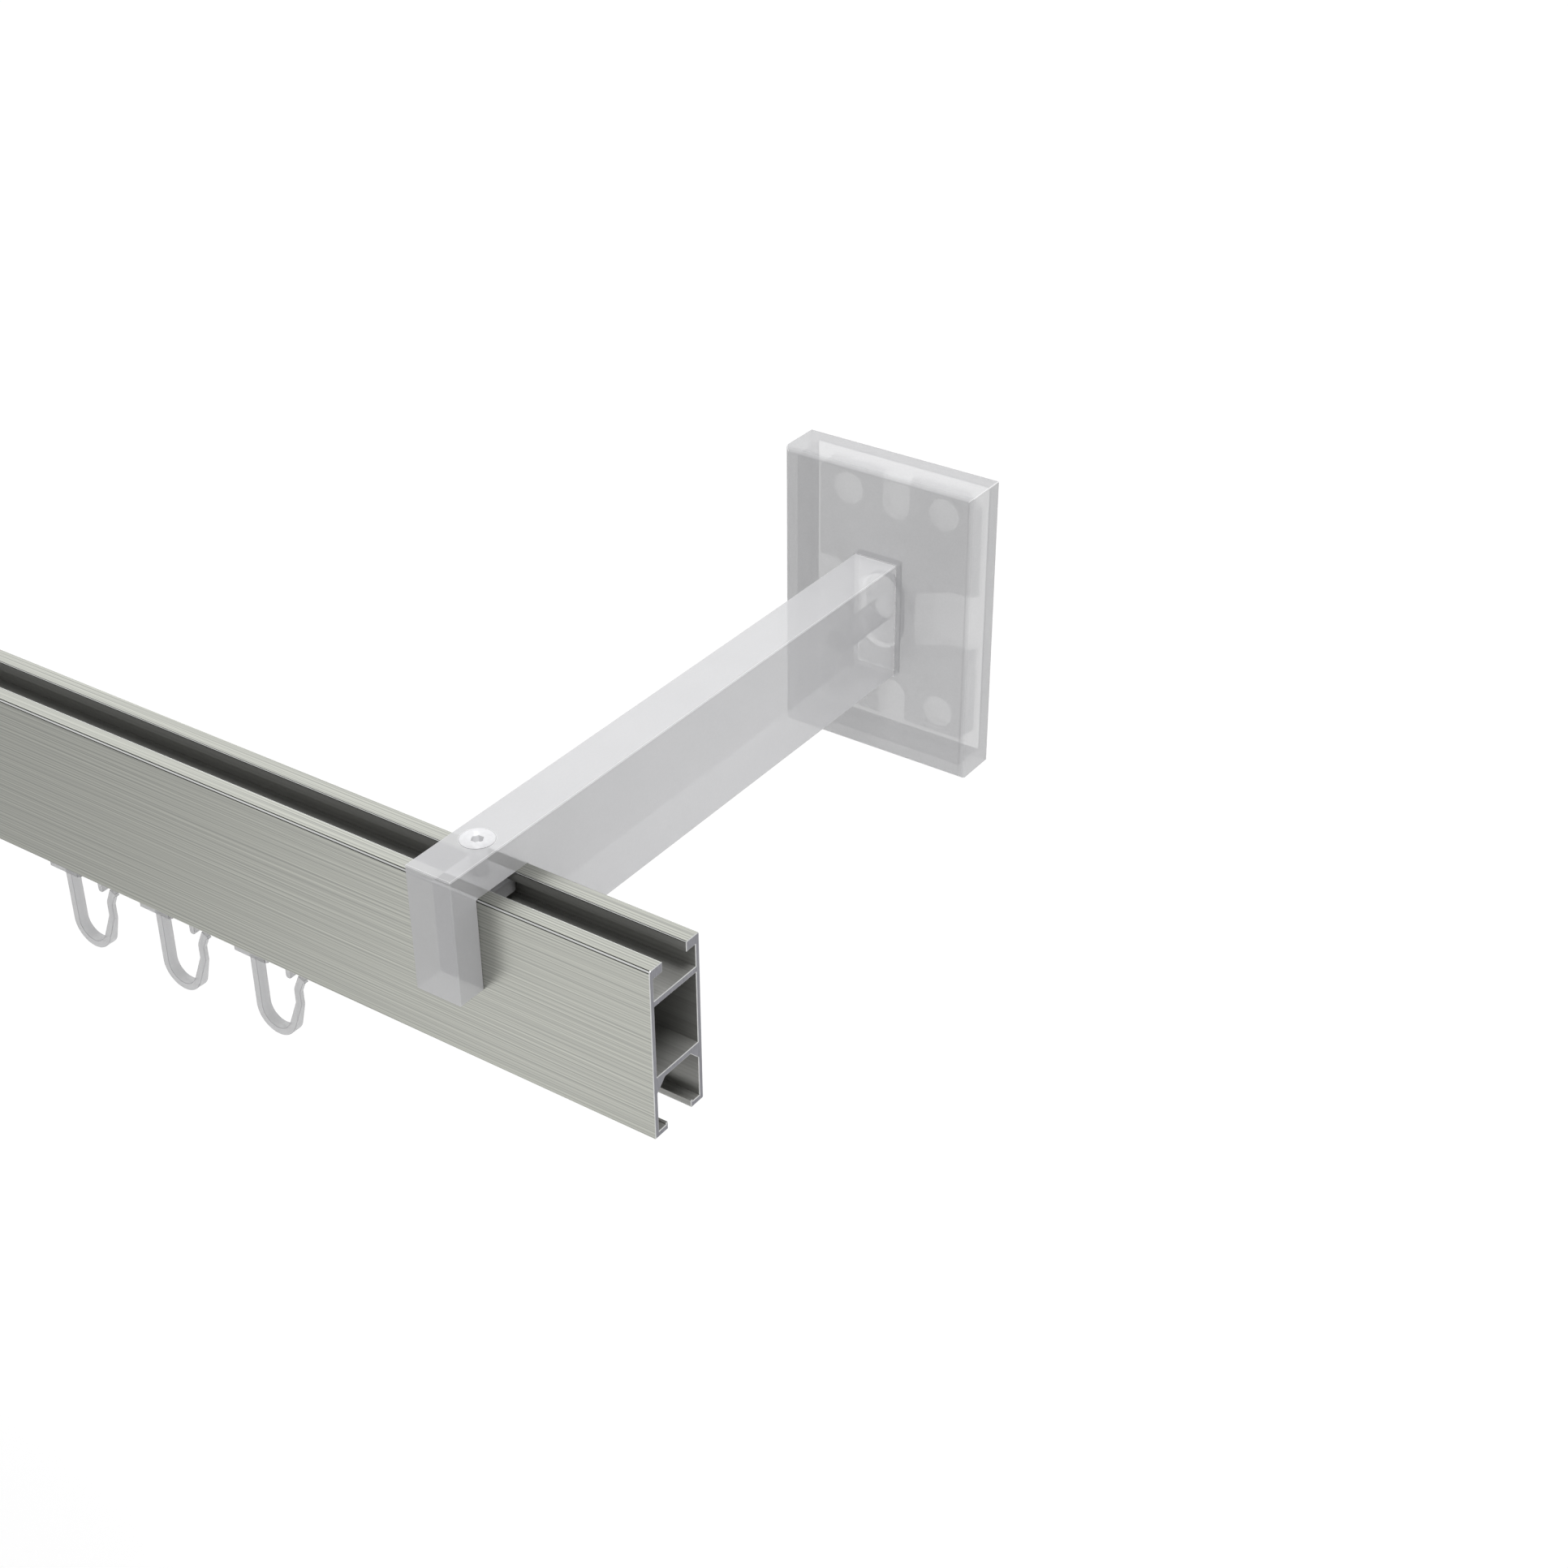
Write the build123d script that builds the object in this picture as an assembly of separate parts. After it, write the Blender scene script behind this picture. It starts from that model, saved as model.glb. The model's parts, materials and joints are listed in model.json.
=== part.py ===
import os

from build123d import *

# Wall-mounted curtain track: an extruded rail carried by two bar brackets, with hook gliders in its
# lower channel. All sizes are in millimetres. X runs along the rail, +Y points into the wall and
# +Z is up. The origin is the centre of the right bracket's wall plate, on the wall.

# Track rail: one extrusion with a nut channel on top, a closed chamber and a glider channel below
rail_length = 450.0
rail_overhang = 41.4
rail_depth = 13.6
rail_height = 35.0
rail_wall = 1.0
rail_front_top_radius = 0.5
rail_back_top_radius = 0.3
rail_back_bottom_radius = 0.35
rail_axis_to_wall = 135.1
nut_slot_width = 6.6
nut_lip_thickness = 2.0
nut_channel_height = 4.5
nut_web_thickness = 1.2
glider_web_thickness = 1.15
glider_slot_width = 6.6
glider_lip_thickness = 1.1
glider_channel_height = 10.4
glider_channel_chamfer = 2.25
lip_bead_width = 0.5
lip_bead_height = 0.35

# Bracket arm: a flat bar, notched from below to sit over the rail
arm_width = 10.0
arm_height = 25.7
arm_bridge_thickness = 6.8
arm_nose_thickness = 6.0
arm_edge_chamfer = 0.2
notch_clearance = 0.1

# Wall plate: a flat plate with a hollow round boss that carries the arm
plate_width = 39.0
plate_height = 58.0
plate_thickness = 2.5
plate_corner_chamfer = 3.25
plate_edge_radius = 2.2
wall_hole_diameter = 7.0
wall_hole_inset_x = 8.0
wall_hole_inset_z = 6.0
hanging_slot_width = 6.5
hanging_slot_depth = 10.0
boss_rise = 5.2
boss_face_radius = 9.2
boss_foot_radius = 15.0
boss_bend_chamfer = 1.2
boss_front_thickness = 2.2
boss_hollow_radius = 7.0
side_notch_height = 12.2
side_notch_start = 8.3
tongue_width = 9.4
tongue_height = 17.0
tongue_length = 2.0
tongue_clearance = 0.05

# Screw and washer that hold the arm's tongue from behind
arm_screw_diameter = 5.0
arm_screw_length = 16.0
arm_screw_head_diameter = 9.5
arm_screw_head_height = 2.6
arm_screw_drive = 3.0
arm_screw_drive_depth = 1.5
arm_screw_end_room = 2.0
washer_diameter = 13.4
washer_thickness = 1.2

# Cover: a shallow box with an open back, which slides along the arm
cover_depth = 10.1
cover_wall = 2.0
cover_room_x = 1.0
cover_room_z = 1.5
cover_edge_radius = 1.4
cover_window_clearance = 0.08

# Clamp: a countersunk socket screw through the arm into a nut in the rail's top channel
clamp_screw_diameter = 3.0
clamp_screw_length = 12.0
clamp_screw_head_diameter = 6.4
clamp_screw_drive = 2.0
clamp_screw_drive_depth = 1.3
countersink_clearance = 0.1
thread_clearance = 0.05
slot_nut_length = 7.6
slot_nut_width = 11.0
slot_nut_thickness = 3.0
slot_nut_corner_radius = 1.6

# Glider: one moulded piece with a head inside the rail, a neck in the slot and a hook below it
glider_count = 6
glider_group_count = 3
glider_group_spacing = 110.0
glider_pitch = 25.67
glider_first_offset = 104.05
glider_length = 8.85
glider_side_clearance = 0.3
glider_running_clearance = 0.05
glider_head_height = 2.0
glider_head_side_clearance = 0.45
glider_crown_width = 5.0
glider_crown_height = 2.2
glider_corner_chamfer = 0.5
glider_drop = 5.05
hook_strip_width = 2.36
hook_strip_thickness = 1.55
hook_tip_width = 1.0
hook_leg_inset = 3.2
hook_leg_length = 13.05
hook_bend_radius = 4.35
hook_lean_angle = 18.5
hook_slant_length = 5.7
hook_waist_length = 3.3
hook_flare_length = 3.7
hook_flare_angle = 24.0
hook_knee_radius = 2.0
hook_barb_reach = 0.45
hook_barb_setback = 0.4
hook_barb_length = 1.3
tooth_thickness = 1.35
tooth_drop = 2.9
tooth_offset = 11.75
tooth_arm_height = 2.4
tooth_tip_radius = 0.55

# Levels and places that follow from the sizes above
rail_top = arm_height / 2 - arm_bridge_thickness
rail_bottom = rail_top - rail_height
rail_front = -rail_axis_to_wall - rail_depth / 2
rail_right_end = rail_overhang
bracket_spacing = rail_length - 2 * rail_overhang
boss_face = -plate_thickness - boss_rise
cover_width = plate_width + 2 * (cover_room_x + cover_wall)
cover_height = plate_height + 2 * (cover_room_z + cover_wall)
nut_lip_underside = rail_top - nut_lip_thickness
nut_web_top = nut_lip_underside - nut_channel_height
glider_lip_top = rail_bottom + glider_lip_thickness
glider_web_bottom = glider_lip_top + glider_channel_height


def box_between(x_range, y_range, z_range):
    """A box from its lowest and highest X, Y and Z."""
    low = Vector(x_range[0], y_range[0], z_range[0])
    high = Vector(x_range[1], y_range[1], z_range[1])
    size = high - low
    return Pos(*((low + high) / 2)) * Box(size.X, size.Y, size.Z)


def section_rectangle(y_half, z_low, z_high):
    """A rectangle of the rail's section, centred on the rail's axis."""
    return Pos(0, (z_low + z_high) / 2) * Rectangle(2 * y_half, z_high - z_low)


def rail_section():
    """The extrusion's section, with Y across the rail and Z up."""
    inner_half = rail_depth / 2 - rail_wall
    outline = section_rectangle(rail_depth / 2, rail_bottom, rail_top)
    for side, level, radius in (
        (-1, rail_top, rail_front_top_radius),
        (1, rail_top, rail_back_top_radius),
        (1, rail_bottom, rail_back_bottom_radius),
    ):
        corner = outline.vertices().sort_by_distance((side * rail_depth / 2, level))[0]
        outline = fillet(corner, radius)

    nut_channel = section_rectangle(inner_half, nut_web_top, nut_lip_underside)
    nut_slot = section_rectangle(nut_slot_width / 2, nut_web_top, rail_top)

    chamber_top = nut_web_top - nut_web_thickness
    chamber_bottom = glider_web_bottom + glider_web_thickness
    chamber = section_rectangle(inner_half, chamber_bottom, chamber_top)

    glider_channel = section_rectangle(inner_half, glider_lip_top, glider_web_bottom)
    upper_corners = glider_channel.vertices().group_by(Axis.Y)[-1]
    glider_channel = chamfer(upper_corners, glider_channel_chamfer)
    glider_slot = section_rectangle(glider_slot_width / 2, rail_bottom, glider_lip_top + lip_bead_height)

    bead_outer = glider_slot_width / 2 + lip_bead_width
    beads = section_rectangle(bead_outer, glider_lip_top, glider_lip_top + lip_bead_height)

    return outline - nut_channel - nut_slot - chamber - (glider_channel - beads) - glider_slot


def track_rail():
    """The rail, cut square at both ends."""
    left_end = rail_right_end - rail_length
    plane = Plane(origin=(left_end, -rail_axis_to_wall, 0), x_dir=(0, 1, 0), z_dir=(1, 0, 0))
    return extrude(plane * rail_section(), amount=rail_length)


def prism_from_wall(profile, depth, start=0.0):
    """A profile in X and Z, extruded away from the wall."""
    return extrude(Plane.XZ.offset(start) * profile, amount=depth)


def boss():
    """The plate's round boss: a low cone with a flat face and a softened rim."""
    profile = Polygon(
        (0, 0),
        (0, boss_face),
        (boss_face_radius, boss_face),
        (boss_foot_radius, -plate_thickness),
        (boss_foot_radius, 0),
        align=None,
    )
    rim = profile.vertices().sort_by_distance((boss_face_radius, boss_face))[0]
    return revolve(chamfer(rim, boss_bend_chamfer), Axis.Y)


def wall_plate():
    """The plate with its boss, corner holes, hanging slots and side notches."""
    outline = chamfer(Rectangle(plate_width, plate_height).vertices(), plate_corner_chamfer)
    plate = prism_from_wall(outline, plate_thickness)
    plate = fillet(plate.faces().sort_by(Axis.Y)[0].edges(), plate_edge_radius)
    plate += boss()
    plate -= prism_from_wall(Circle(boss_hollow_radius), -boss_face - boss_front_thickness)

    hole_x = plate_width / 2 - wall_hole_inset_x
    hole_z = plate_height / 2 - wall_hole_inset_z
    holes = [
        Pos(x, z) * Circle(wall_hole_diameter / 2)
        for x in (-hole_x, hole_x)
        for z in (-hole_z, hole_z)
    ]
    slot_round = plate_height / 2 - hanging_slot_depth + hanging_slot_width / 2
    slots = [
        Pos(0, side * plate_height / 2) * SlotCenterToCenter(
            2 * (plate_height / 2 - slot_round), hanging_slot_width, rotation=90
        )
        for side in (-1, 1)
    ]
    notch_length = plate_width / 2 - side_notch_start
    notches = [
        Pos(side * (side_notch_start + notch_length / 2), 0) * Rectangle(notch_length, side_notch_height)
        for side in (-1, 1)
    ]
    seat_height = tongue_height + 2 * tongue_clearance
    seat = SlotOverall(seat_height, tongue_width + 2 * tongue_clearance, rotation=90)
    for cut in [*holes, *slots, *notches, seat]:
        plate -= prism_from_wall(cut, -boss_face)
    return plate


def bracket_arm():
    """The bar: notched over the rail, with a tongue at the wall end and two screw holes."""
    nose = rail_front - notch_clearance - arm_nose_thickness
    arm = box_between(
        (-arm_width / 2, arm_width / 2), (nose, boss_face), (-arm_height / 2, arm_height / 2)
    )
    long_edges = arm.edges().filter_by(Axis.Y)
    arm = chamfer(long_edges + arm.faces().sort_by(Axis.Y)[0].edges(), arm_edge_chamfer)
    notch_back = rail_front + rail_depth + notch_clearance
    arm -= box_between(
        (-arm_width, arm_width), (rail_front - notch_clearance, notch_back), (-arm_height, rail_top)
    )
    tongue = SlotOverall(tongue_height, tongue_width, rotation=90)
    arm += prism_from_wall(tongue, tongue_length, start=-boss_face - tongue_length)

    screw_hole = Circle(arm_screw_diameter / 2 + thread_clearance)
    screw_hole_depth = arm_screw_length + arm_screw_end_room
    arm -= prism_from_wall(screw_hole, screw_hole_depth, start=-boss_face - tongue_length)

    arm -= Pos(0, -rail_axis_to_wall, arm_height / 2) * countersunk_form(
        clamp_screw_head_diameter / 2 + countersink_clearance,
        clamp_screw_diameter / 2 + countersink_clearance,
        arm_bridge_thickness,
    )
    return arm


def countersunk_form(head_radius, shank_radius, length):
    """A 90 degree head and its shank, turned about Z, with the head's face at Z zero."""
    profile = Polygon(
        (0, 0),
        (head_radius, 0),
        (shank_radius, shank_radius - head_radius),
        (shank_radius, -length),
        (0, -length),
        align=None,
    )
    return revolve(Plane.XZ * profile, Axis.Z)


def clamp_screw():
    """The countersunk screw, flush with the top of the arm."""
    screw = countersunk_form(clamp_screw_head_diameter / 2, clamp_screw_diameter / 2, clamp_screw_length)
    socket = RegularPolygon(clamp_screw_drive / 2, 6, major_radius=False)
    screw -= extrude(socket, amount=-clamp_screw_drive_depth)
    return Pos(0, -rail_axis_to_wall, arm_height / 2) * screw


def slot_nut():
    """The nut, pulled up against the undersides of the rail's top lips."""
    outline = RectangleRounded(slot_nut_length, slot_nut_width, slot_nut_corner_radius)
    outline -= Circle(clamp_screw_diameter / 2 + thread_clearance)
    nut = extrude(outline, amount=-slot_nut_thickness)
    return Pos(0, -rail_axis_to_wall, nut_lip_underside) * nut


def arm_washer():
    """The washer that spans the boss's slot, on its hollow side."""
    ring = Circle(washer_diameter / 2) - Circle(arm_screw_diameter / 2 + thread_clearance)
    return prism_from_wall(ring, washer_thickness, start=washer_face() - washer_thickness)


def washer_face():
    """How far the washer's front face stands off the wall."""
    return -boss_face - boss_front_thickness


def arm_screw():
    """The low-headed socket screw behind the boss, which draws the arm to the plate."""
    seat = washer_face() - washer_thickness
    head_back = seat - arm_screw_head_height
    head = prism_from_wall(Circle(arm_screw_head_diameter / 2), arm_screw_head_height, start=head_back)
    socket = RegularPolygon(arm_screw_drive / 2, 6, major_radius=False)
    head -= prism_from_wall(socket, arm_screw_drive_depth, start=head_back)
    shank = prism_from_wall(Circle(arm_screw_diameter / 2), arm_screw_length, start=seat)
    return head + shank


def cover():
    """The cover: an open-backed shell with a window that the arm runs through."""
    shell = prism_from_wall(Rectangle(cover_width, cover_height), cover_depth)
    front_face = shell.faces().sort_by(Axis.Y)[0]
    shell = fillet(front_face.edges(), cover_edge_radius)
    cavity = Rectangle(cover_width - 2 * cover_wall, cover_height - 2 * cover_wall)
    shell -= prism_from_wall(cavity, cover_depth - cover_wall)
    window = Rectangle(arm_width + 2 * cover_window_clearance, arm_height + 2 * cover_window_clearance)
    return shell - prism_from_wall(window, cover_depth)


def lean_step(length, lean):
    """A step of a given length in the hook's plane, leaning right from the upright."""
    return Vector(0, length).rotate(Axis.Z, -lean)


def hook_path():
    """The strip's middle line, in X and Z from the neck's left end and the rail's underside."""
    leg_top = (hook_leg_inset, -glider_drop + hook_strip_thickness)
    leg_foot = (hook_leg_inset, -glider_drop - hook_leg_length)
    leg = Line(leg_top, leg_foot)
    bend_centre = (hook_leg_inset + hook_bend_radius, leg_foot[1])
    bend = CenterArc(bend_centre, hook_bend_radius, 180, 180 - hook_lean_angle)
    slant_end = bend @ 1 + lean_step(hook_slant_length, hook_lean_angle)
    waist_end = slant_end + Vector(0, hook_waist_length)
    flare_end = waist_end + lean_step(hook_flare_length, hook_flare_angle)
    tip = FilletPolyline(bend @ 1, slant_end, waist_end, flare_end, radius=hook_knee_radius)
    return leg, bend, tip


def hook_barb(tip_end):
    """The small barb on the outer side of the hook's tip."""
    along = lean_step(1, hook_flare_angle)
    outward = lean_step(1, hook_flare_angle + 90)
    corner = tip_end + outward * (hook_strip_thickness / 2)
    point = corner + outward * hook_barb_reach - along * hook_barb_setback
    foot = corner - along * hook_barb_length - outward * hook_barb_reach
    return Polygon(corner - outward * hook_barb_reach, corner, point, foot, align=None)


def hook():
    """The hook: a flat strip that narrows from its bend to its barbed tip."""
    leg, bend, tip = hook_path()
    strip = trace(Wire([*leg.edges(), *bend.edges(), *tip.edges()]), hook_strip_thickness)
    strip += hook_barb(tip @ 1)
    solid = extrude(Plane.XZ * strip, amount=hook_strip_width / 2, both=True)

    bend_end = bend @ 1
    taper_foot = bend_end.Y - hook_strip_thickness
    taper_top = bend_end.Y + hook_slant_length
    for side in (-1, 1):
        wedge = Polygon(
            (side * hook_strip_width / 2, taper_foot),
            (side * hook_tip_width / 2, taper_top),
            (side * hook_tip_width / 2, 0),
            (side * hook_strip_width, 0),
            (side * hook_strip_width, taper_foot),
            align=None,
        )
        wedge = Plane.YZ.offset(bend_end.X - hook_bend_radius) * wedge
        solid -= extrude(wedge, amount=rail_depth, dir=(1, 0, 0))
    return solid


def glider_head():
    """The head and neck: a flat head that rides on the lip beads, and a neck through the slot."""
    seat = glider_lip_thickness + lip_bead_height + glider_running_clearance
    head_width = rail_depth - 2 * (rail_wall + glider_head_side_clearance)
    neck_width = glider_slot_width - 2 * glider_side_clearance
    neck = chamfer(Rectangle(glider_length, neck_width).vertices(), glider_corner_chamfer)
    head = Rectangle(glider_length, head_width)
    crown = Rectangle(glider_length, glider_crown_width)
    solid = Pos(0, 0, -glider_drop) * extrude(neck, amount=glider_drop + seat)
    solid += Pos(0, 0, seat) * extrude(head, amount=glider_head_height)
    solid += Pos(0, 0, seat + glider_head_height) * extrude(crown, amount=glider_crown_height)
    return Pos(glider_length / 2, 0, 0) * solid


def stop_tooth():
    """The tooth behind the hook's mouth, on a short arm from the neck."""
    arm_end = tooth_offset + tooth_thickness
    strip = box_between(
        (glider_length / 2, arm_end),
        (-hook_strip_width / 2, hook_strip_width / 2),
        (-glider_drop, -glider_drop + tooth_arm_height),
    )
    tooth = box_between(
        (tooth_offset, arm_end),
        (-hook_strip_width / 2, hook_strip_width / 2),
        (-glider_drop - tooth_drop, -glider_drop + tooth_arm_height),
    )
    tip_edges = tooth.faces().sort_by(Axis.Z)[0].edges().filter_by(Axis.Y)
    return strip + fillet(tip_edges, tooth_tip_radius)


def glider(index):
    """One glider at its place along the rail: groups of gliders, counted from the right."""
    group, place = divmod(index, glider_group_count)
    left = rail_right_end - glider_first_offset - group * glider_group_spacing - place * glider_pitch
    solid = glider_head() + hook() + stop_tooth()
    return Pos(left, -rail_axis_to_wall, rail_bottom) * solid


def bracket_pieces():
    """The pieces of one bracket, at the right bracket's place."""
    return {
        "arm": bracket_arm(),
        "wall_plate": wall_plate(),
        "cover": cover(),
        "arm_screw": arm_screw(),
        "arm_washer": arm_washer(),
        "clamp_screw": clamp_screw(),
        "slot_nut": slot_nut(),
    }


def all_pieces():
    """Every node's name and shape."""
    pieces = {"track_rail": track_rail()}
    for name, shape in bracket_pieces().items():
        pieces["right_" + name] = shape
        pieces["left_" + name] = Pos(-bracket_spacing, 0, 0) * shape
    for index in range(glider_count):
        pieces[f"glider_{index + 1}"] = glider(index)
    return pieces


os.makedirs("parts", exist_ok=True)
for node, shape in all_pieces().items():
    export_step(shape, f"parts/{node}.step")
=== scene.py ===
import json
import math

import bmesh
import bpy
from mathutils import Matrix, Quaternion, Vector

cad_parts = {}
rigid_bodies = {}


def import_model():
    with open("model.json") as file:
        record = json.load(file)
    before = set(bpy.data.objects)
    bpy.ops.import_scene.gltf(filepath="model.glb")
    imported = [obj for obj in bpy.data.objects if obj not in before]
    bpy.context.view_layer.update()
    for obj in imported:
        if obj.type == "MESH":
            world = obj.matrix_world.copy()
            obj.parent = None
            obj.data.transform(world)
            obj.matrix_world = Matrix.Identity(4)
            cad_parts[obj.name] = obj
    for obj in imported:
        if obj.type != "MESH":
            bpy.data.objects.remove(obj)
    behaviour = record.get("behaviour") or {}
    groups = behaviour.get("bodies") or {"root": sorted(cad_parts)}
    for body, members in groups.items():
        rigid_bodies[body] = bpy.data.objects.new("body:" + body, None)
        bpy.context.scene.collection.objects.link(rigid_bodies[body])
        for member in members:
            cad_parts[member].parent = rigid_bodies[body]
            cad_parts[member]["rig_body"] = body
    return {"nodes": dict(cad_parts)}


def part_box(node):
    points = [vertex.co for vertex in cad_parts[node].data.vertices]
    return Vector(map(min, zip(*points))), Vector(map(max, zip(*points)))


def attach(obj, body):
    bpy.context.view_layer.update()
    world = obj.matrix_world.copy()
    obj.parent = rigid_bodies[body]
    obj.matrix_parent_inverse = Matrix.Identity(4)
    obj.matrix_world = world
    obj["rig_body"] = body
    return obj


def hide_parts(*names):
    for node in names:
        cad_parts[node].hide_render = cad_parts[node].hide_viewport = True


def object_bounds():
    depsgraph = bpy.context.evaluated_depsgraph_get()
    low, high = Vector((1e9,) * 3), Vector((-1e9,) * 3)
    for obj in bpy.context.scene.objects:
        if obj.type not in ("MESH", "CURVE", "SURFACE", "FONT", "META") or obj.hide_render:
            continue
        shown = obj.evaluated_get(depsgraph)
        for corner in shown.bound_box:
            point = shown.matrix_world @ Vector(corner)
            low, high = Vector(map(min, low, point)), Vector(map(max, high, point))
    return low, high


MM = 0.001

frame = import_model()
cad_low, cad_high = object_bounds()


# Colours and materials

def srgb(hex_colour):
    """An sRGB hex colour as the linear colour that a shader takes."""
    channels = [int(hex_colour[i:i + 2], 16) / 255 for i in (1, 3, 5)]
    linear = [c / 12.92 if c <= 0.04045 else ((c + 0.055) / 1.055) ** 2.4 for c in channels]
    return (*linear, 1.0)


def start_material(name):
    """An empty material, ready for nodes."""
    material = bpy.data.materials.new(name)
    material.use_nodes = True
    material.node_tree.nodes.clear()
    return material


def node(owner, kind, settings=None, inputs=None):
    """Adds a node with its settings, a ramp's stops among them, and sets or links its inputs."""
    tree = owner.node_tree
    made = tree.nodes.new(kind)
    for key, value in (settings or {}).items():
        if key != "stops":
            setattr(made, key, value)
            continue
        band = made.color_ramp
        while len(band.elements) < len(value):
            band.elements.new(0.5)
        for element, (place, colour) in zip(band.elements, value):
            element.position = place
            element.color = colour
    for key, value in (inputs or {}).items():
        if isinstance(value, bpy.types.NodeSocket):
            tree.links.new(value, made.inputs[key])
        else:
            made.inputs[key].default_value = value
    return made


def brushed_aluminium():
    """Extruded aluminium, brushed along its length and anodised: fine long streaks, soft gloss."""
    material = start_material("brushed_anodised_aluminium")
    coords = node(material, "ShaderNodeTexCoord")
    # Real brush strokes are finer. They are drawn 0.4 mm wide, so that they show, and 60 mm long
    stroke_place = node(material, "ShaderNodeMapping", inputs={
        "Vector": coords.outputs["Object"],
        "Scale": (1 / (60 * MM), 1 / (0.4 * MM), 1 / (0.4 * MM)),
    })
    strokes = node(material, "ShaderNodeTexNoise", inputs={
        "Vector": stroke_place.outputs["Vector"], "Scale": 1.0, "Detail": 1.0,
    })
    # The colour paints light on one flank of each stroke and shade on the other. The step from
    # flank to
    # 0.4 of a stroke's width, and runs across the strokes on the rail's front and top alike
    flank_step = node(material, "ShaderNodeVectorMath", {"operation": "CROSS_PRODUCT"}, {
        0: coords.outputs["Normal"], 1: (0.4, 0, 0),
    })
    flank_place = node(material, "ShaderNodeVectorMath", {"operation": "ADD"}, {
        0: stroke_place.outputs["Vector"], 1: flank_step.outputs["Vector"],
    })
    flanks = node(material, "ShaderNodeTexNoise", inputs={
        "Vector": flank_place.outputs["Vector"], "Scale": 1.0, "Detail": 1.0,
    })
    painted_flank_shade = node(material, "ShaderNodeMath", {"operation": "SUBTRACT"}, {
        0: strokes.outputs["Fac"], 1: flanks.outputs["Fac"],
    })
    tone = node(material, "ShaderNodeMapRange", inputs={
        "Value": painted_flank_shade.outputs[0], "From Min": -0.2, "From Max": 0.2,
    })
    colour = node(material, "ShaderNodeValToRGB", {"stops": [
        (0.0, srgb("#7C7D79")), (1.0, srgb("#989992")),
    ]}, {"Fac": tone.outputs["Result"]})
    roughness = node(material, "ShaderNodeMapRange", inputs={
        "Value": tone.outputs["Result"], "To Min": 0.39, "To Max": 0.37,
    })
    bump = node(material, "ShaderNodeBump", inputs={
        "Height": strokes.outputs["Fac"], "Strength": 0.06, "Distance": 0.02 * MM,
    })
    metal = node(material, "ShaderNodeBsdfPrincipled", inputs={
        "Base Color": colour.outputs["Color"], "Metallic": 1.0,
        "Roughness": roughness.outputs["Result"], "Normal": bump.outputs["Normal"],
    })
    node(material, "ShaderNodeOutputMaterial", inputs={"Surface": metal.outputs["BSDF"]})
    return material


def mill_aluminium():
    """The channels and chamber, as the die left them: darker, duller and without brushing."""
    material = start_material("mill_finish_aluminium")
    coords = node(material, "ShaderNodeTexCoord")
    # Die lines are about 0.5 mm wide and 200 mm long
    line_place = node(material, "ShaderNodeMapping", inputs={
        "Vector": coords.outputs["Object"],
        "Scale": (1 / (200 * MM), 1 / (0.5 * MM), 1 / (0.5 * MM)),
    })
    lines = node(material, "ShaderNodeTexNoise", inputs={
        "Vector": line_place.outputs["Vector"], "Scale": 1.0, "Detail": 3.0, "Roughness": 0.5,
    })
    colour = node(material, "ShaderNodeValToRGB", {"stops": [
        (0.35, srgb("#8A8A87")), (0.65, srgb("#979794")),
    ]}, {"Fac": lines.outputs["Fac"]})
    metal = node(material, "ShaderNodeBsdfPrincipled", inputs={
        "Base Color": colour.outputs["Color"], "Metallic": 0.6, "Roughness": 0.55,
    })
    node(material, "ShaderNodeOutputMaterial", inputs={"Surface": metal.outputs["BSDF"]})
    return material


def sawn_aluminium():
    """The bare cut across the rail: a fine, even saw grain with a matt, slightly lilac face."""
    material = start_material("sawn_aluminium")
    coords = node(material, "ShaderNodeTexCoord")
    # Saw marks run upwards, about 0.15 mm apart and 2.5 mm long
    mark_place = node(material, "ShaderNodeMapping", inputs={
        "Vector": coords.outputs["Object"], "Scale": (1.0, 1 / (0.15 * MM), 1 / (2.5 * MM)),
    })
    marks = node(material, "ShaderNodeTexNoise", inputs={
        "Vector": mark_place.outputs["Vector"], "Scale": 1.0, "Detail": 3.0, "Roughness": 0.6,
    })
    colour = node(material, "ShaderNodeValToRGB", {"stops": [
        (0.35, srgb("#7D7D82")), (0.65, srgb("#929297")),
    ]}, {"Fac": marks.outputs["Fac"]})
    bump = node(material, "ShaderNodeBump", inputs={
        "Height": marks.outputs["Fac"], "Strength": 0.2, "Distance": 0.02 * MM,
    })
    metal = node(material, "ShaderNodeBsdfPrincipled", inputs={
        "Base Color": colour.outputs["Color"], "Metallic": 1.0, "Roughness": 0.5,
        "Normal": bump.outputs["Normal"],
    })
    node(material, "ShaderNodeOutputMaterial", inputs={"Surface": metal.outputs["BSDF"]})
    return material


def deburred_edge_and_painted_highlight():
    """The broken edges of the cuts and slots, and a band on the rail's rounded front edge: smoother
    than the faces beside them, and brighter, partly as bare metal and partly as a painted
    highlight.
    """
    material = start_material("deburred_edge_and_painted_highlight")
    coords = node(material, "ShaderNodeTexCoord")
    # Its tone wanders over about 25 mm along the rail and 1.5 mm across
    wander_place = node(material, "ShaderNodeMapping", inputs={
        "Vector": coords.outputs["Object"],
        "Scale": (1 / (25 * MM), 1 / (1.5 * MM), 1 / (1.5 * MM)),
    })
    wander = node(material, "ShaderNodeTexNoise", inputs={
        "Vector": wander_place.outputs["Vector"], "Scale": 1.0, "Detail": 2.0,
    })
    colour = node(material, "ShaderNodeValToRGB", {"stops": [
        (0.3, srgb("#C0C1C0")), (0.7, srgb("#D0D1D0")),
    ]}, {"Fac": wander.outputs["Fac"]})
    metal = node(material, "ShaderNodeBsdfPrincipled", inputs={
        "Base Color": colour.outputs["Color"], "Metallic": 1.0, "Roughness": 0.25,
    })
    node(material, "ShaderNodeOutputMaterial", inputs={"Surface": metal.outputs["BSDF"]})
    return material


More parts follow.
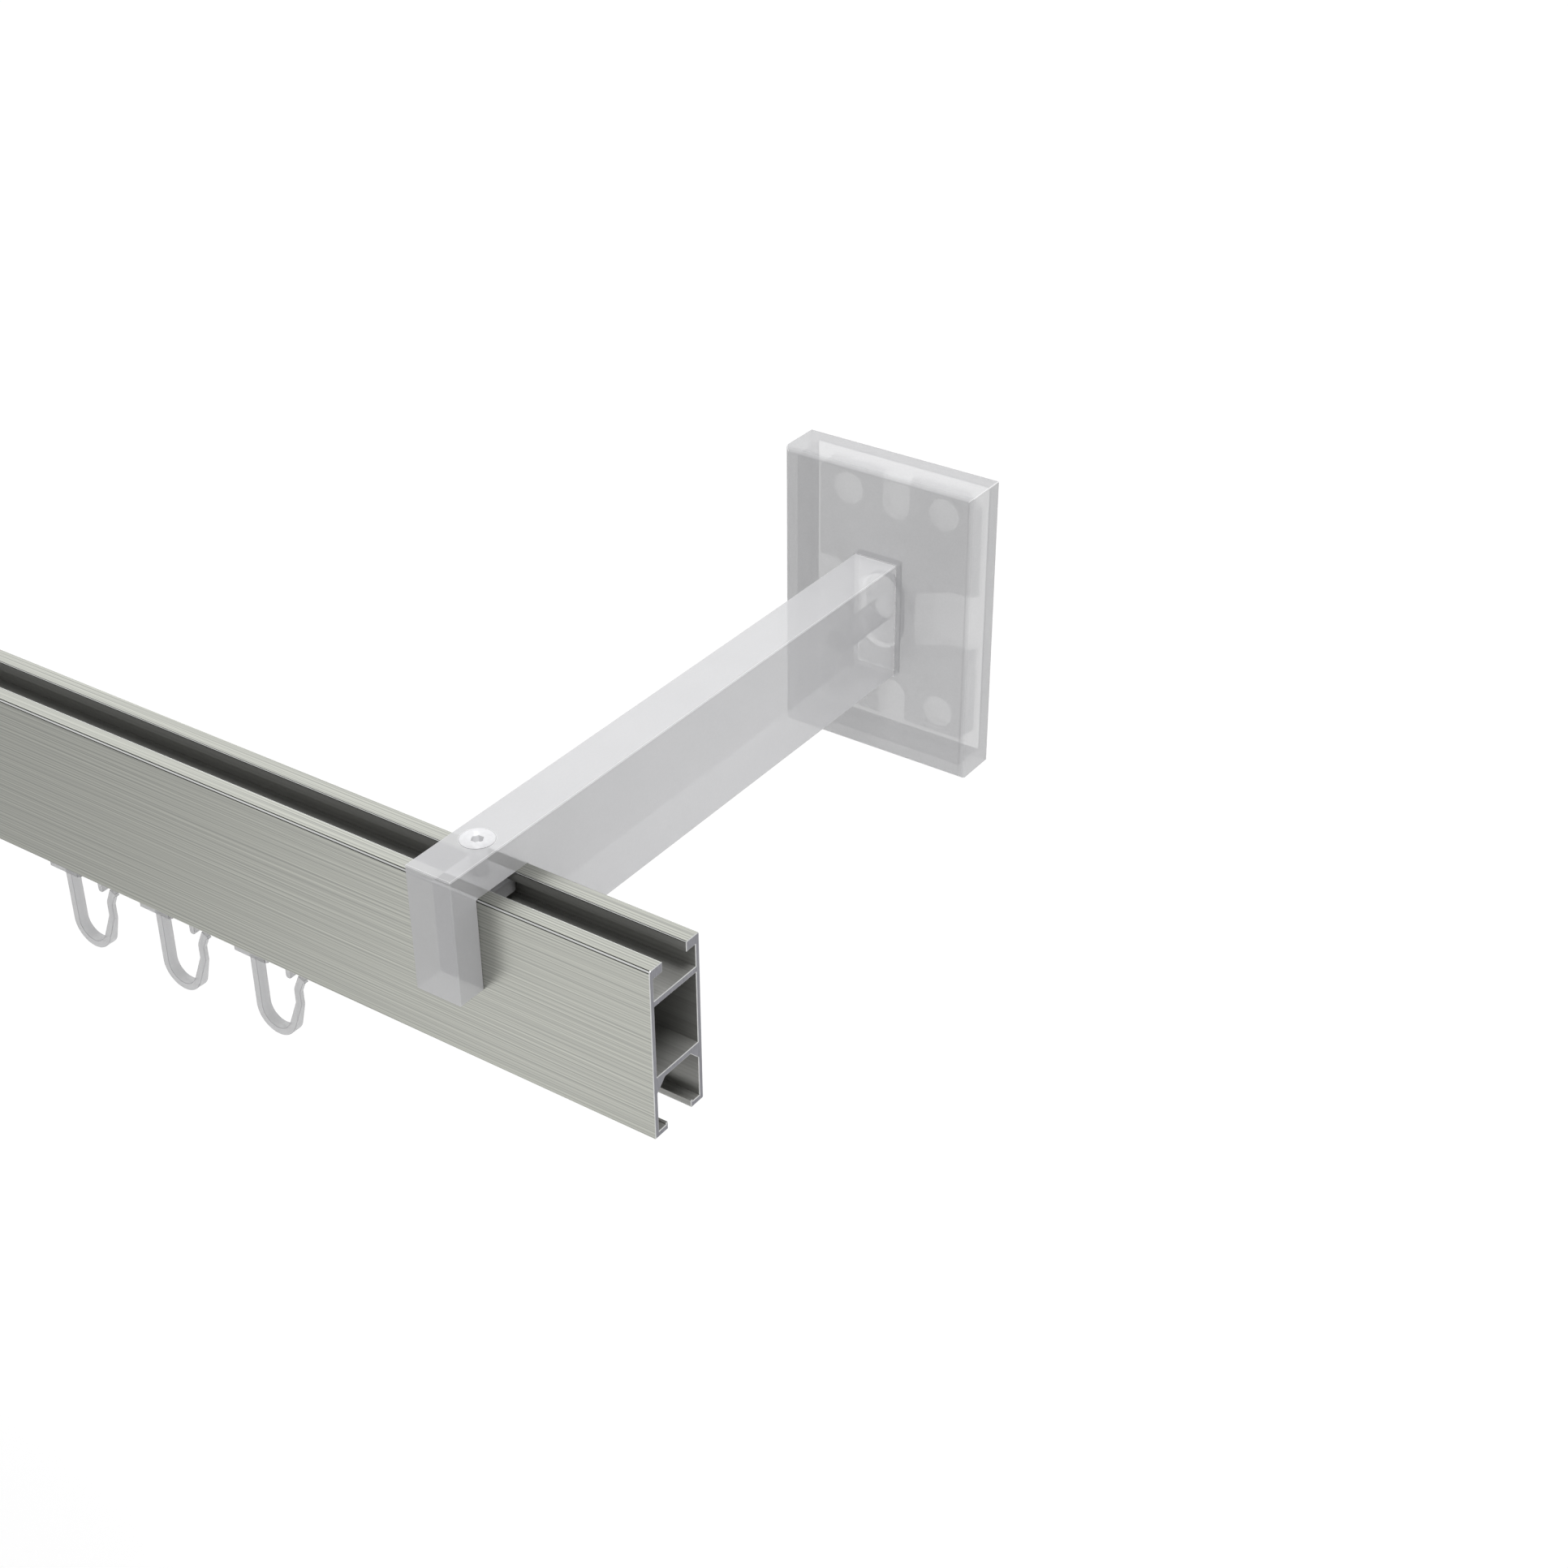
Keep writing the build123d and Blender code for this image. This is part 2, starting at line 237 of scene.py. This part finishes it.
def painted_dark_reflection_aluminium():
    """Dark bands of painted reflection on the rail's rounded front edge, above and below its
    painted highlight.
    """
    material = start_material("painted_dark_reflection_aluminium")
    coords = node(material, "ShaderNodeTexCoord")
    # The lines' tone wanders over about 60 mm along the rail and 1 mm across
    tone_place = node(material, "ShaderNodeMapping", inputs={
        "Vector": coords.outputs["Object"], "Scale": (1 / (60 * MM), 1 / (1 * MM), 1 / (1 * MM)),
    })
    tone = node(material, "ShaderNodeTexNoise", inputs={
        "Vector": tone_place.outputs["Vector"], "Scale": 1.0, "Detail": 2.0,
    })
    colour = node(material, "ShaderNodeValToRGB", {"stops": [
        (0.3, srgb("#2E2F2C")), (0.7, srgb("#42433F")),
    ]}, {"Fac": tone.outputs["Fac"]})
    metal = node(material, "ShaderNodeBsdfPrincipled", inputs={
        "Base Color": colour.outputs["Color"], "Metallic": 1.0, "Roughness": 0.4,
    })
    node(material, "ShaderNodeOutputMaterial", inputs={"Surface": metal.outputs["BSDF"]})
    return material


def milky_plastic(name, light, dark, alpha, roughness):
    """Moulded see-through plastic: faint clouds in its milky tone, and a fine grain on its skin."""
    material = start_material(name)
    coords = node(material, "ShaderNodeTexCoord")
    # Clouds in the milky melt are about 14 mm across
    cloud_place = node(material, "ShaderNodeMapping", inputs={
        "Vector": coords.outputs["Object"], "Scale": (1 / (14 * MM),) * 3,
    })
    cloud = node(material, "ShaderNodeTexNoise", inputs={
        "Vector": cloud_place.outputs["Vector"], "Scale": 1.0, "Detail": 3.0,
    })
    # The moulded grain is about 0.4 mm
    grain_place = node(material, "ShaderNodeMapping", inputs={
        "Vector": coords.outputs["Object"], "Scale": (1 / (0.4 * MM),) * 3,
    })
    grain = node(material, "ShaderNodeTexNoise", inputs={
        "Vector": grain_place.outputs["Vector"], "Scale": 1.0, "Detail": 2.0,
    })
    tone = node(material, "ShaderNodeMix", {"data_type": "FLOAT"}, {
        "Factor": 0.5, "A": cloud.outputs["Fac"], "B": grain.outputs["Fac"],
    })
    colour = node(material, "ShaderNodeValToRGB", {"stops": [
        (0.35, srgb(dark)), (0.65, srgb(light)),
    ]}, {"Fac": tone.outputs["Result"]})
    bump = node(material, "ShaderNodeBump", inputs={
        "Height": grain.outputs["Fac"], "Strength": 0.05, "Distance": 0.02 * MM,
    })
    plastic = node(material, "ShaderNodeBsdfPrincipled", inputs={
        "Base Color": colour.outputs["Color"], "Roughness": roughness, "IOR": 1.49,
        "Alpha": alpha, "Normal": bump.outputs["Normal"],
    })
    node(material, "ShaderNodeOutputMaterial", inputs={"Surface": plastic.outputs["BSDF"]})
    return material


def zinc_plated_steel():
    """Zinc-plated steel, see-through as the bracket is: pale and satin, with faint flecks."""
    material = start_material("zinc_plated_steel")
    coords = node(material, "ShaderNodeTexCoord")
    # The plating's flecks are about 0.8 mm across
    fleck_place = node(material, "ShaderNodeMapping", inputs={
        "Vector": coords.outputs["Object"], "Scale": (1 / (0.8 * MM),) * 3,
    })
    fleck = node(material, "ShaderNodeTexNoise", inputs={
        "Vector": fleck_place.outputs["Vector"], "Scale": 1.0, "Detail": 3.0,
    })
    colour = node(material, "ShaderNodeValToRGB", {"stops": [
        (0.35, srgb("#E4E4E6")), (0.65, srgb("#ECECEE")),
    ]}, {"Fac": fleck.outputs["Fac"]})
    roughness = node(material, "ShaderNodeMapRange", inputs={
        "Value": fleck.outputs["Fac"], "To Min": 0.28, "To Max": 0.42,
    })
    metal = node(material, "ShaderNodeBsdfPrincipled", inputs={
        "Base Color": colour.outputs["Color"], "Metallic": 0.6,
        "Roughness": roughness.outputs["Result"], "Alpha": 0.4,
    })
    node(material, "ShaderNodeOutputMaterial", inputs={"Surface": metal.outputs["BSDF"]})
    return material


aluminium = brushed_aluminium()
mill = mill_aluminium()
sawn = sawn_aluminium()
edge = deburred_edge_and_painted_highlight()
painted_dark_bands = painted_dark_reflection_aluminium()

# Each plastic's light and dark tone, how much of the light it stops, and its roughness
plastics = {
    name: milky_plastic(name, light, dark, alpha, roughness)
    for name, light, dark, alpha, roughness in (
        # The arm: a haze that lets the wall plate show, painted light on its underside, and thin
        # inner faces
        ("milky_arm_plastic", "#DEDEE0", "#DADADC", 0.61, 0.5),
        ("painted_light_underside_plastic", "#F4F4F5", "#EEEEF0", 0.7, 0.3),
        ("thin_joint_plastic", "#D2D2D4", "#CECED0", 0.47, 0.4),
        # Rounded edges with a painted highlight: a paler plastic that shows as pale lines
        ("painted_highlight_edge_plastic", "#F8F8F9", "#F2F2F3", 0.8, 0.25),
        # The cover: a cloudy front, clearer sides, and a lining that only dims what is behind
        ("milky_cover_front_plastic", "#CCCCCE", "#C6C6C8", 0.67, 0.4),
        ("milky_cover_side_plastic", "#C9C9CB", "#C3C3C5", 0.52, 0.5),
        ("thin_lining_plastic", "#DADADC", "#D4D4D6", 0.25, 0.4),
        # The wall plate: its holes show as lighter rounds in a grey veil
        ("milky_plate_plastic", "#DADADC", "#D4D4D6", 0.3, 0.4),
        # The plate's back and edges, the washer and the wall screw, which barely show
        ("clear_plastic", "#DEDEE0", "#D8D8DA", 0.05, 0.35),
        # The gliders: milky faces, with rounded edges painted darker as shade, which outline the
        # hooks
        ("milky_hook_plastic", "#D2D2D4", "#CECED0", 0.52, 0.3),
        ("painted_shade_hook_edge_plastic", "#A4A4A6", "#A0A0A2", 0.6, 0.4),
        # The slot nut: nearly opaque, so that it shows in the dark channel
        ("pale_nut_plastic", "#B4B4B6", "#ACACAE", 0.85, 0.4),
    )
}
zinc = zinc_plated_steel()


# Pieces

def merged_copy(source):
    """A CAD node's shape as a bmesh, with its facets joined up into whole faces."""
    shape = bmesh.new()
    shape.from_mesh(frame["nodes"][source].data)
    bmesh.ops.remove_doubles(shape, verts=shape.verts, dist=0.001 * MM)
    bmesh.ops.dissolve_limit(
        shape, angle_limit=math.radians(0.5), verts=shape.verts, edges=shape.edges,
    )
    return shape


def stand_in(name, source, shape, materials, sharp_angle=35.0):
    """Makes a bmesh into a smooth-shaded piece that stands for a CAD node, on that node's body."""
    mesh = bpy.data.meshes.new(name)
    shape.to_mesh(mesh)
    shape.free()
    for material in materials:
        mesh.materials.append(material)
    for face in mesh.polygons:
        face.use_smooth = True
    mesh.set_sharp_from_angle(angle=math.radians(sharp_angle))
    piece = bpy.data.objects.new(name, mesh)
    bpy.context.scene.collection.objects.link(piece)
    piece.modifiers.new("weighted_normals", "WEIGHTED_NORMAL").keep_sharp = True
    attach(piece, frame["nodes"][source]["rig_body"])
    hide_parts(source)


def round_edges(shape, width, slot=None, rise=0.0):
    """Rounds a bmesh's sharp edges by a width in mm.

    A slot goes to the rounds whose normal rises or falls by at least the rise.
    """
    sharp_angle = math.radians(30)
    sharp = [
        line for line in shape.edges
        if line.is_manifold and line.calc_face_angle() > sharp_angle
    ]
    rounded = bmesh.ops.bevel(
        shape, geom=sharp, offset=width * MM, segments=2, affect="EDGES", profile=0.5,
        clamp_overlap=True,
    )
    for face in rounded["faces"]:
        face.normal_update()
        if slot is not None and abs(face.normal.z) >= rise:
            face.material_index = slot


def make_rail():
    """The extrusion: brushed outside, mill finish inside, with saw-cut ends and broken edges."""
    brushed_slot, mill_slot, sawn_slot, edge_slot, painted_dark_band_slot = range(5)
    skin_depth = 0.6 * MM
    cut_round = 0.12 * MM
    slot_round = 0.25 * MM
    low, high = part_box("track_rail")
    shape = merged_copy("track_rail")
    for face in shape.faces:
        middle = face.calc_center_bounds()
        inside = (
            low.y + skin_depth < middle.y < high.y - skin_depth
            and low.z + skin_depth < middle.z < high.z - skin_depth
        )
        face.material_index = mill_slot if inside else brushed_slot
        if abs(face.normal.x) > 0.9:
            face.material_index = sawn_slot
    rims = [
        line for line in shape.edges
        if len({face.material_index == sawn_slot for face in line.link_faces}) == 2
    ]
    # The cut rims and slot edges are rounded with the bright edge finish, partly bare metal and
    # partly a painted highlight
    bmesh.ops.bevel(
        shape, geom=rims, offset=cut_round, segments=2, affect="EDGES", profile=0.5,
        material=edge_slot, clamp_overlap=True,
    )
    slot_edges = [
        line for line in shape.edges
        if {face.material_index for face in line.link_faces} == {brushed_slot, mill_slot}
    ]
    bmesh.ops.bevel(
        shape, geom=slot_edges, offset=slot_round, segments=3, affect="EDGES", profile=0.5,
        material=edge_slot, clamp_overlap=True,
    )
    # A face's tilt in degrees is 0 on the rail's front and 90 on its top
    for face in shape.faces:
        along_rail = abs(face.normal.x) < 0.1
        tilt = math.degrees(math.atan2(face.normal.z, -face.normal.y))
        # On the rounded front edge, two bands of painted dark reflection lie either side of a band
        # of painted highlight
        if along_rail and (1 < tilt < 25 or 55 < tilt < 80):
            face.material_index = painted_dark_band_slot
        if along_rail and 25 < tilt < 55:
            face.material_index = edge_slot
    finishes = [aluminium, mill, sawn, edge, painted_dark_bands]
    stand_in("rail_extrusion", "track_rail", shape, finishes, sharp_angle=25.0)


def make_wall_plate(side):
    """A bracket's wall plate: its front is cloudy, and its back, edges and hole walls are clear."""
    source = f"{side}_wall_plate"
    front_slot, clear_slot = range(2)
    shape = merged_copy(source)
    for face in shape.faces:
        face.material_index = front_slot if face.normal.y < -0.3 else clear_slot
    finishes = [plastics["milky_plate_plastic"], plastics["clear_plastic"]]
    stand_in(f"{source}_pressed", source, shape, finishes, sharp_angle=30.0)


def make_cover(side):
    """A bracket's cover: its front is cloudier than its sides, and it is almost clear inside."""
    source = f"{side}_cover"
    front_slot, side_slot, edge_slot, lining_slot = range(4)
    skin_depth = 0.5 * MM
    low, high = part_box(source)
    shape = merged_copy(source)
    for face in shape.faces:
        middle = face.calc_center_bounds()
        face.material_index = side_slot
        if middle.y < low.y + skin_depth:
            face.material_index = front_slot
        elif all(low[i] + skin_depth < middle[i] < high[i] - skin_depth for i in range(3)):
            face.material_index = lining_slot
    # The top and bottom rounds get a paler plastic: a painted highlight
    round_edges(shape, width=0.18, slot=edge_slot, rise=0.3)
    finishes = [
        plastics["milky_cover_front_plastic"], plastics["milky_cover_side_plastic"],
        plastics["painted_highlight_edge_plastic"], plastics["thin_lining_plastic"],
    ]
    stand_in(f"{source}_moulded", source, shape, finishes)


def make_arm(side):
    """A bracket's arm: cloudy outside, and clearer inside the cover and at its wall screw."""
    source = f"{side}_arm"
    skin_slot, joint_slot, edge_slot, painted_light_under_slot, hidden_slot = range(5)
    hole_radius = 3.0 * MM
    hole_depth = 30.0 * MM
    low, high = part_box(source)
    middle_x = (low.x + high.x) / 2
    cover_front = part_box(f"{side}_cover")[0].y
    shape = merged_copy(source)
    bmesh.ops.bisect_plane(
        shape, geom=shape.verts[:] + shape.edges[:] + shape.faces[:],
        plane_co=(0, cover_front, 0), plane_no=(0, 1, 0),
    )
    for face in shape.faces:
        middle = face.calc_center_median()
        in_cover = middle.y > cover_front
        in_hole = (
            math.hypot(middle.x - middle_x, middle.z) < hole_radius and middle.y > -hole_depth
        )
        # Faces that look straight down get a paler plastic: painted light on the underside
        face.material_index = painted_light_under_slot if face.normal.z < -0.9 else skin_slot
        if in_cover:
            face.material_index = hidden_slot
        if in_hole or (in_cover and face.normal.y > 0.9):
            face.material_index = joint_slot
    # The top and bottom rounds get a paler plastic: a painted highlight
    round_edges(shape, width=0.18, slot=edge_slot, rise=0.3)
    finishes = [
        plastics["milky_arm_plastic"], plastics["thin_joint_plastic"],
        plastics["painted_highlight_edge_plastic"], plastics["painted_light_underside_plastic"],
        plastics["thin_lining_plastic"],
    ]
    stand_in(f"{source}_moulded", source, shape, finishes)


def make_small_fittings(side):
    """A bracket's slot nut and washer, with softened edges."""
    for part, slot, material, width in (
        ("slot_nut", "pale_nut", "pale_nut_plastic", 0.25),
        ("arm_washer", "clear_plastic", "clear_plastic", 0.15),
    ):
        source = f"{side}_{part}"
        shape = merged_copy(source)
        round_edges(shape, width)
        stand_in(f"{source}_moulded", source, shape, [plastics[material]])


def neck_shank(shape, centre, axis, major, minor):
    """Brings a screw's shank in from its full radius to the root of its thread, both in mm."""
    same_radius = 0.02 * MM
    for corner in shape.verts:
        offset = corner.co - centre
        across = offset - offset.dot(axis) * axis
        if abs(across.length - major * MM) < same_radius:
            corner.co -= across.normalized() * (major - minor) * MM


def add_thread(shape, start, axis, major, minor, pitch, turns):
    """Winds a thread's ridge round a shank, up its axis from the screw's tip, in mm."""
    steps_in_turn = 24
    outward = Vector((1, 0, 0))
    # The ridge's four corners: each one's radius, and its place as a share of the pitch
    profile = [
        shape.verts.new(start + outward * radius * MM + axis * pitch * MM * share)
        for radius, share in ((minor, 0.1), (major, 0.45), (major, 0.55), (minor, 0.9))
    ]
    lines = [shape.edges.new(pair) for pair in zip(profile, profile[1:])]
    bmesh.ops.spin(
        shape, geom=profile + lines, cent=start, axis=axis, dvec=axis * pitch * MM / steps_in_turn,
        angle=math.tau * turns, steps=steps_in_turn * turns,
    )


def make_screws(side):
    """A bracket's clamp screw and wall screw, each with its thread cut in."""
    up = Vector((0, 0, 1))
    to_wall = Vector((0, 1, 0))
    depth_in_pitch = 0.55
    # Each screw's axis runs from its tip to its head. Its thread's radius and pitch are in mm
    for part, slot, material, axis, major, pitch, turns in (
        ("clamp_screw", "screw_steel", zinc, up, 1.5, 0.5, 19),
        ("arm_screw", "clear_plastic", plastics["clear_plastic"], to_wall, 2.5, 0.8, 18),
    ):
        source = f"{side}_{part}"
        root = major - depth_in_pitch * pitch
        low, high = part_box(source)
        middle = (low + high) / 2
        tip = middle - axis * abs((high - low).dot(axis)) / 2
        shape = merged_copy(source)
        neck_shank(shape, middle, axis, major, root)
        round_edges(shape, width=0.08)
        add_thread(shape, tip, axis, major, root, pitch, turns)
        stand_in(f"{source}_threaded", source, shape, [material])


def make_glider(name):
    """A hook glider: milky, with its rounded edges painted darker as shade."""
    edge_slot = 1
    shape = merged_copy(name)
    round_edges(shape, width=0.12, slot=edge_slot)
    finishes = [plastics["milky_hook_plastic"], plastics["painted_shade_hook_edge_plastic"]]
    stand_in(f"{name}_moulded", name, shape, finishes)


make_rail()
for side in ("right", "left"):
    make_wall_plate(side)
    make_cover(side)
    make_arm(side)
    make_small_fittings(side)
    make_screws(side)
for name in frame["nodes"]:
    if name.startswith("glider_"):
        make_glider(name)


# Stage, light and camera

def seen_white(owner, plain, white):
    """Mixes in a white look for the camera, and for what mirrors or lets light through."""
    path = node(owner, "ShaderNodeLightPath")
    mirrored = node(owner, "ShaderNodeMath", {"operation": "ADD", "use_clamp": True}, {
        0: path.outputs["Is Camera Ray"], 1: path.outputs["Is Glossy Ray"],
    })
    seen = node(owner, "ShaderNodeMath", {"operation": "ADD", "use_clamp": True}, {
        0: mirrored.outputs[0], 1: path.outputs["Is Transmission Ray"],
    })
    return node(owner, "ShaderNodeMixShader", inputs={
        "Fac": seen.outputs[0], 1: plain.outputs[0], 2: white.outputs[0],
    })


def make_world():
    """An even studio: soft light from all round, and plain white to look at."""
    world = bpy.data.worlds.new("studio")
    world.use_nodes = True
    world.node_tree.nodes.clear()
    colour = srgb("#FFFFFF")
    soft = node(world, "ShaderNodeBackground", inputs={"Color": colour, "Strength": 0.5})
    white = node(world, "ShaderNodeBackground", inputs={"Color": colour, "Strength": 1.0})
    mixed = seen_white(world, soft, white)
    node(world, "ShaderNodeOutputWorld", inputs={"Surface": mixed.outputs[0]})
    bpy.context.scene.world = world


def make_floor():
    """A plain pale floor well below the track."""
    floor_size = 6.0
    floor_drop = 0.5
    shape = bmesh.new()
    bmesh.ops.create_grid(shape, x_segments=1, y_segments=1, size=floor_size)
    bmesh.ops.translate(shape, verts=shape.verts, vec=(0, 0, cad_low.z - floor_drop))
    mesh = bpy.data.meshes.new("floor")
    shape.to_mesh(mesh)
    shape.free()
    floor = bpy.data.objects.new("floor", mesh)
    bpy.context.scene.collection.objects.link(floor)
    material = start_material("pale_floor")
    matt = node(material, "ShaderNodeBsdfDiffuse", inputs={"Color": srgb("#C8C8C8")})
    lift = node(material, "ShaderNodeEmission", inputs={
        "Color": srgb("#FFFFFF"), "Strength": 0.4,
    })
    white = node(material, "ShaderNodeAddShader", inputs={
        0: matt.outputs[0], 1: lift.outputs[0],
    })
    mixed = seen_white(material, matt, white)
    node(material, "ShaderNodeOutputMaterial", inputs={"Surface": mixed.outputs[0]})
    mesh.materials.append(material)


def add_lamp(light, place, aim):
    """Puts a light in the scene, shining along a direction."""
    lamp = bpy.data.objects.new(light.name, light)
    bpy.context.scene.collection.objects.link(lamp)
    lamp.location = place
    lamp.rotation_mode = "QUATERNION"
    lamp.rotation_quaternion = Vector(aim).to_track_quat("-Z", "Y")
    return lamp


def add_sun(name, aim, strength, spread):
    """An even light from far away, soft by its spread in degrees."""
    light = bpy.data.lights.new(name, "SUN")
    light.energy = strength
    light.angle = math.radians(spread)
    add_lamp(light, (0, 0, 2), aim)


def add_gloss_card(name, place, size, power):
    """A square light, aimed at the near bracket, that shows only as gloss."""
    target = Vector((0.0, -0.14, -0.02))
    light = bpy.data.lights.new(name, "AREA")
    light.shape = "SQUARE"
    light.size = size
    light.energy = power
    card = add_lamp(light, place, target - Vector(place))
    card.visible_diffuse = False


def make_camera():
    """The camera at the photograph's place, worked out from the bracket's and rail's edges."""
    place = Vector((243.92, -397.13, 246.56)) * MM
    sight_line = Vector((-0.48028, 0.69672, -0.53284))
    roll = math.radians(-0.248)
    data = bpy.data.cameras.new("camera")
    data.sensor_width = 36.0
    data.lens = 57.37
    data.clip_start = 0.01
    data.clip_end = 50.0
    camera = bpy.data.objects.new("camera", data)
    bpy.context.scene.collection.objects.link(camera)
    camera.location = place
    camera.rotation_mode = "QUATERNION"
    aimed = sight_line.to_track_quat("-Z", "Y")
    camera.rotation_quaternion = aimed @ Quaternion((0, 0, 1), roll)
    bpy.context.scene.camera = camera


make_world()
make_floor()
make_camera()
add_sun("key_light", aim=(-0.22, 0.08, -0.97), strength=1.9, spread=28.0)
# One card is low in front, for the rail's face, and one high behind, for its lips
add_gloss_card("low_front_card", place=(-0.2, -0.65, -0.5), size=0.6, power=1.4)
add_gloss_card("high_back_card", place=(-0.64, 0.5, 0.6), size=0.8, power=2.8)
bpy.context.scene.view_settings.view_transform = "Standard"
# Many see-through skins lie one behind another where the arm meets the wall plate
bpy.context.scene.cycles.transparent_max_bounces = 24
